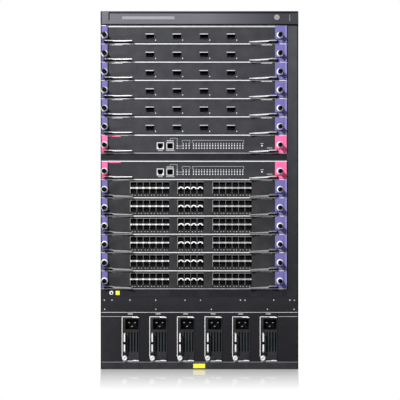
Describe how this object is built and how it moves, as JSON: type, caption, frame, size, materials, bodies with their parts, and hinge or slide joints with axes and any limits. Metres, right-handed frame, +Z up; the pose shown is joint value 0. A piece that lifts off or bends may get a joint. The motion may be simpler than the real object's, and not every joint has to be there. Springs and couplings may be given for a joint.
{
  "type": "modular chassis switch",
  "caption": "Tall rack cabinet switch with stacked slide-in cards, swinging ejector levers, slide-in power supplies and rear fan trays.",
  "frame": {"origin": "centre of the base, on the surface it stands on", "axes": "+Z up, +X to the right seen from the front, the front faces -Y"},
  "size_m": [0.44, 0.718, 0.797],
  "materials": {
    "case_paint": "fine textured powder coat",
    "bezel_paint": "satin moulded plastic with a metallic paint",
    "card_paint": "satin paint",
    "board_green": "solder mask",
    "lever_steel": "bare brushed sheet",
    "supply_paint": "satin black",
    "guide_plastic": "moulded",
    "zinc_steel": "bare zinc-plated sheet",
    "grip_purple": "moulded, satin",
    "grip_pink": "moulded, satin",
    "knob_black": "knurled",
    "lamp_white": "light pipe",
    "tag_yellow": "plain film",
    "port_dark": "inside of a port"
  },
  "bodies": {
    "chassis": {"side_wall_left": "case_paint", "side_wall_right": "case_paint", "top_cover": "case_paint", "base_pan": "case_paint", "rear_panel": "case_paint", "top_bezel": "bezel_paint", "front_frame": "case_paint", "power_bays": "case_paint", "midplane": "board_green", "slot_guides": "guide_plastic"},
    "uplink_card_1": {"uplink_card_1": "card_paint"},
    "uplink_card_1_lever_left": {"uplink_card_1_lever_left": "lever_steel"},
    "uplink_card_1_lever_right": {"uplink_card_1_lever_right": "lever_steel"},
    "uplink_card_2": {"uplink_card_2": "card_paint"},
    "uplink_card_2_lever_left": {"uplink_card_2_lever_left": "lever_steel"},
    "uplink_card_2_lever_right": {"uplink_card_2_lever_right": "lever_steel"},
    "uplink_card_3": {"uplink_card_3": "card_paint"},
    "uplink_card_3_lever_left": {"uplink_card_3_lever_left": "lever_steel"},
    "uplink_card_3_lever_right": {"uplink_card_3_lever_right": "lever_steel"},
    "uplink_card_4": {"uplink_card_4": "card_paint"},
    "uplink_card_4_lever_left": {"uplink_card_4_lever_left": "lever_steel"},
    "uplink_card_4_lever_right": {"uplink_card_4_lever_right": "lever_steel"},
    "uplink_card_5": {"uplink_card_5": "card_paint"},
    "uplink_card_5_lever_left": {"uplink_card_5_lever_left": "lever_steel"},
    "uplink_card_5_lever_right": {"uplink_card_5_lever_right": "lever_steel"},
    "uplink_card_6": {"uplink_card_6": "card_paint"},
    "uplink_card_6_lever_left": {"uplink_card_6_lever_left": "lever_steel"},
    "uplink_card_6_lever_right": {"uplink_card_6_lever_right": "lever_steel"},
    "control_card_1": {"control_card_1": "card_paint"},
    "control_card_1_lever_left": {"control_card_1_lever_left": "lever_steel"},
    "control_card_1_lever_right": {"control_card_1_lever_right": "lever_steel"},
    "control_card_2": {"control_card_2": "card_paint"},
    "control_card_2_lever_left": {"control_card_2_lever_left": "lever_steel"},
    "control_card_2_lever_right": {"control_card_2_lever_right": "lever_steel"},
    "port_card_1": {"port_card_1": "card_paint"},
    "port_card_1_lever_left": {"port_card_1_lever_left": "lever_steel"},
    "port_card_1_lever_right": {"port_card_1_lever_right": "lever_steel"},
    "port_card_2": {"port_card_2": "card_paint"},
    "port_card_2_lever_left": {"port_card_2_lever_left": "lever_steel"},
    "port_card_2_lever_right": {"port_card_2_lever_right": "lever_steel"},
    "port_card_3": {"port_card_3": "card_paint"},
    "port_card_3_lever_left": {"port_card_3_lever_left": "lever_steel"},
    "port_card_3_lever_right": {"port_card_3_lever_right": "lever_steel"},
    "port_card_4": {"port_card_4": "card_paint"},
    "port_card_4_lever_left": {"port_card_4_lever_left": "lever_steel"},
    "port_card_4_lever_right": {"port_card_4_lever_right": "lever_steel"},
    "port_card_5": {"port_card_5": "card_paint"},
    "port_card_5_lever_left": {"port_card_5_lever_left": "lever_steel"},
    "port_card_5_lever_right": {"port_card_5_lever_right": "lever_steel"},
    "port_card_6": {"port_card_6": "card_paint"},
    "port_card_6_lever_left": {"port_card_6_lever_left": "lever_steel"},
    "port_card_6_lever_right": {"port_card_6_lever_right": "lever_steel"},
    "power_supply_1": {"power_supply_1": "supply_paint"},
    "power_supply_2": {"power_supply_2": "supply_paint"},
    "power_supply_3": {"power_supply_3": "supply_paint"},
    "power_supply_4": {"power_supply_4": "supply_paint"},
    "power_supply_5": {"power_supply_5": "supply_paint"},
    "power_supply_6": {"power_supply_6": "supply_paint"},
    "fan_tray_left": {"fan_tray_left": "case_paint"},
    "fan_tray_right": {"fan_tray_right": "case_paint"}
  },
  "joints": [
    {"name": "uplink_card_1_slide", "type": "slide", "parent": "chassis", "child": "uplink_card_1", "axis": [0, -1, 0], "range_m": [0, 0.36]},
    {"name": "uplink_card_1_lever_left_turn", "type": "hinge", "parent": "uplink_card_1", "child": "uplink_card_1_lever_left", "pos_m": [-0.2092, -0.3356, 0.72785], "axis": [0, 0, -1], "range_deg": [0, 60]},
    {"name": "uplink_card_1_lever_right_turn", "type": "hinge", "parent": "uplink_card_1", "child": "uplink_card_1_lever_right", "pos_m": [0.1701, -0.3356, 0.72785], "axis": [0, 0, 1], "range_deg": [0, 60]},
    {"name": "uplink_card_2_slide", "type": "slide", "parent": "chassis", "child": "uplink_card_2", "axis": [0, -1, 0], "range_m": [0, 0.36]},
    {"name": "uplink_card_2_lever_left_turn", "type": "hinge", "parent": "uplink_card_2", "child": "uplink_card_2_lever_left", "pos_m": [-0.2092, -0.3356, 0.6872], "axis": [0, 0, -1], "range_deg": [0, 60]},
    {"name": "uplink_card_2_lever_right_turn", "type": "hinge", "parent": "uplink_card_2", "child": "uplink_card_2_lever_right", "pos_m": [0.1701, -0.3356, 0.6872], "axis": [0, 0, 1], "range_deg": [0, 60]},
    {"name": "uplink_card_3_slide", "type": "slide", "parent": "chassis", "child": "uplink_card_3", "axis": [0, -1, 0], "range_m": [0, 0.36]},
    {"name": "uplink_card_3_lever_left_turn", "type": "hinge", "parent": "uplink_card_3", "child": "uplink_card_3_lever_left", "pos_m": [-0.2092, -0.3356, 0.64655], "axis": [0, 0, -1], "range_deg": [0, 60]},
    {"name": "uplink_card_3_lever_right_turn", "type": "hinge", "parent": "uplink_card_3", "child": "uplink_card_3_lever_right", "pos_m": [0.1701, -0.3356, 0.64655], "axis": [0, 0, 1], "range_deg": [0, 60]},
    {"name": "uplink_card_4_slide", "type": "slide", "parent": "chassis", "child": "uplink_card_4", "axis": [0, -1, 0], "range_m": [0, 0.36]},
    {"name": "uplink_card_4_lever_left_turn", "type": "hinge", "parent": "uplink_card_4", "child": "uplink_card_4_lever_left", "pos_m": [-0.2092, -0.3356, 0.6059], "axis": [0, 0, -1], "range_deg": [0, 60]},
    {"name": "uplink_card_4_lever_right_turn", "type": "hinge", "parent": "uplink_card_4", "child": "uplink_card_4_lever_right", "pos_m": [0.1701, -0.3356, 0.6059], "axis": [0, 0, 1], "range_deg": [0, 60]},
    {"name": "uplink_card_5_slide", "type": "slide", "parent": "chassis", "child": "uplink_card_5", "axis": [0, -1, 0], "range_m": [0, 0.36]},
    {"name": "uplink_card_5_lever_left_turn", "type": "hinge", "parent": "uplink_card_5", "child": "uplink_card_5_lever_left", "pos_m": [-0.2092, -0.3356, 0.56525], "axis": [0, 0, -1], "range_deg": [0, 60]},
    {"name": "uplink_card_5_lever_right_turn", "type": "hinge", "parent": "uplink_card_5", "child": "uplink_card_5_lever_right", "pos_m": [0.1701, -0.3356, 0.56525], "axis": [0, 0, 1], "range_deg": [0, 60]},
    {"name": "uplink_card_6_slide", "type": "slide", "parent": "chassis", "child": "uplink_card_6", "axis": [0, -1, 0], "range_m": [0, 0.36]},
    {"name": "uplink_card_6_lever_left_turn", "type": "hinge", "parent": "uplink_card_6", "child": "uplink_card_6_lever_left", "pos_m": [-0.2092, -0.3356, 0.5246], "axis": [0, 0, -1], "range_deg": [0, 60]},
    {"name": "uplink_card_6_lever_right_turn", "type": "hinge", "parent": "uplink_card_6", "child": "uplink_card_6_lever_right", "pos_m": [0.1701, -0.3356, 0.5246], "axis": [0, 0, 1], "range_deg": [0, 60]},
    {"name": "control_card_1_slide", "type": "slide", "parent": "chassis", "child": "control_card_1", "axis": [0, -1, 0], "range_m": [0, 0.36]},
    {"name": "control_card_1_lever_left_turn", "type": "hinge", "parent": "control_card_1", "child": "control_card_1_lever_left", "pos_m": [-0.2092, -0.3356, 0.48395], "axis": [0, 0, -1], "range_deg": [0, 60]},
    {"name": "control_card_1_lever_right_turn", "type": "hinge", "parent": "control_card_1", "child": "control_card_1_lever_right", "pos_m": [0.1701, -0.3356, 0.48395], "axis": [0, 0, 1], "range_deg": [0, 60]},
    {"name": "control_card_2_slide", "type": "slide", "parent": "chassis", "child": "control_card_2", "axis": [0, -1, 0], "range_m": [0, 0.36]},
    {"name": "control_card_2_lever_left_turn", "type": "hinge", "parent": "control_card_2", "child": "control_card_2_lever_left", "pos_m": [-0.2092, -0.3356, 0.4258], "axis": [0, 0, -1], "range_deg": [0, 60]},
    {"name": "control_card_2_lever_right_turn", "type": "hinge", "parent": "control_card_2", "child": "control_card_2_lever_right", "pos_m": [0.1701, -0.3356, 0.4258], "axis": [0, 0, 1], "range_deg": [0, 60]},
    {"name": "port_card_1_slide", "type": "slide", "parent": "chassis", "child": "port_card_1", "axis": [0, -1, 0], "range_m": [0, 0.36]},
    {"name": "port_card_1_lever_left_turn", "type": "hinge", "parent": "port_card_1", "child": "port_card_1_lever_left", "pos_m": [-0.2092, -0.3356, 0.38515], "axis": [0, 0, -1], "range_deg": [0, 60]},
    {"name": "port_card_1_lever_right_turn", "type": "hinge", "parent": "port_card_1", "child": "port_card_1_lever_right", "pos_m": [0.1701, -0.3356, 0.38515], "axis": [0, 0, 1], "range_deg": [0, 60]},
    {"name": "port_card_2_slide", "type": "slide", "parent": "chassis", "child": "port_card_2", "axis": [0, -1, 0], "range_m": [0, 0.36]},
    {"name": "port_card_2_lever_left_turn", "type": "hinge", "parent": "port_card_2", "child": "port_card_2_lever_left", "pos_m": [-0.2092, -0.3356, 0.3445], "axis": [0, 0, -1], "range_deg": [0, 60]},
    {"name": "port_card_2_lever_right_turn", "type": "hinge", "parent": "port_card_2", "child": "port_card_2_lever_right", "pos_m": [0.1701, -0.3356, 0.3445], "axis": [0, 0, 1], "range_deg": [0, 60]},
    {"name": "port_card_3_slide", "type": "slide", "parent": "chassis", "child": "port_card_3", "axis": [0, -1, 0], "range_m": [0, 0.36]},
    {"name": "port_card_3_lever_left_turn", "type": "hinge", "parent": "port_card_3", "child": "port_card_3_lever_left", "pos_m": [-0.2092, -0.3356, 0.30385], "axis": [0, 0, -1], "range_deg": [0, 60]},
    {"name": "port_card_3_lever_right_turn", "type": "hinge", "parent": "port_card_3", "child": "port_card_3_lever_right", "pos_m": [0.1701, -0.3356, 0.30385], "axis": [0, 0, 1], "range_deg": [0, 60]},
    {"name": "port_card_4_slide", "type": "slide", "parent": "chassis", "child": "port_card_4", "axis": [0, -1, 0], "range_m": [0, 0.36]},
    {"name": "port_card_4_lever_left_turn", "type": "hinge", "parent": "port_card_4", "child": "port_card_4_lever_left", "pos_m": [-0.2092, -0.3356, 0.2632], "axis": [0, 0, -1], "range_deg": [0, 60]},
    {"name": "port_card_4_lever_right_turn", "type": "hinge", "parent": "port_card_4", "child": "port_card_4_lever_right", "pos_m": [0.1701, -0.3356, 0.2632], "axis": [0, 0, 1], "range_deg": [0, 60]},
    {"name": "port_card_5_slide", "type": "slide", "parent": "chassis", "child": "port_card_5", "axis": [0, -1, 0], "range_m": [0, 0.36]},
    {"name": "port_card_5_lever_left_turn", "type": "hinge", "parent": "port_card_5", "child": "port_card_5_lever_left", "pos_m": [-0.2092, -0.3356, 0.22255], "axis": [0, 0, -1], "range_deg": [0, 60]},
    {"name": "port_card_5_lever_right_turn", "type": "hinge", "parent": "port_card_5", "child": "port_card_5_lever_right", "pos_m": [0.1701, -0.3356, 0.22255], "axis": [0, 0, 1], "range_deg": [0, 60]},
    {"name": "port_card_6_slide", "type": "slide", "parent": "chassis", "child": "port_card_6", "axis": [0, -1, 0], "range_m": [0, 0.36]},
    {"name": "port_card_6_lever_left_turn", "type": "hinge", "parent": "port_card_6", "child": "port_card_6_lever_left", "pos_m": [-0.2092, -0.3356, 0.1819], "axis": [0, 0, -1], "range_deg": [0, 60]},
    {"name": "port_card_6_lever_right_turn", "type": "hinge", "parent": "port_card_6", "child": "port_card_6_lever_right", "pos_m": [0.1701, -0.3356, 0.1819], "axis": [0, 0, 1], "range_deg": [0, 60]},
    {"name": "power_supply_1_slide", "type": "slide", "parent": "chassis", "child": "power_supply_1", "axis": [0, -1, 0], "range_m": [0, 0.3]},
    {"name": "power_supply_2_slide", "type": "slide", "parent": "chassis", "child": "power_supply_2", "axis": [0, -1, 0], "range_m": [0, 0.3]},
    {"name": "power_supply_3_slide", "type": "slide", "parent": "chassis", "child": "power_supply_3", "axis": [0, -1, 0], "range_m": [0, 0.3]},
    {"name": "power_supply_4_slide", "type": "slide", "parent": "chassis", "child": "power_supply_4", "axis": [0, -1, 0], "range_m": [0, 0.3]},
    {"name": "power_supply_5_slide", "type": "slide", "parent": "chassis", "child": "power_supply_5", "axis": [0, -1, 0], "range_m": [0, 0.3]},
    {"name": "power_supply_6_slide", "type": "slide", "parent": "chassis", "child": "power_supply_6", "axis": [0, -1, 0], "range_m": [0, 0.3]},
    {"name": "fan_tray_left_slide", "type": "slide", "parent": "chassis", "child": "fan_tray_left", "axis": [0, 1, 0], "range_m": [0, 0.12]},
    {"name": "fan_tray_right_slide", "type": "slide", "parent": "chassis", "child": "fan_tray_right", "axis": [0, 1, 0], "range_m": [0, 0.12]}
  ]
}
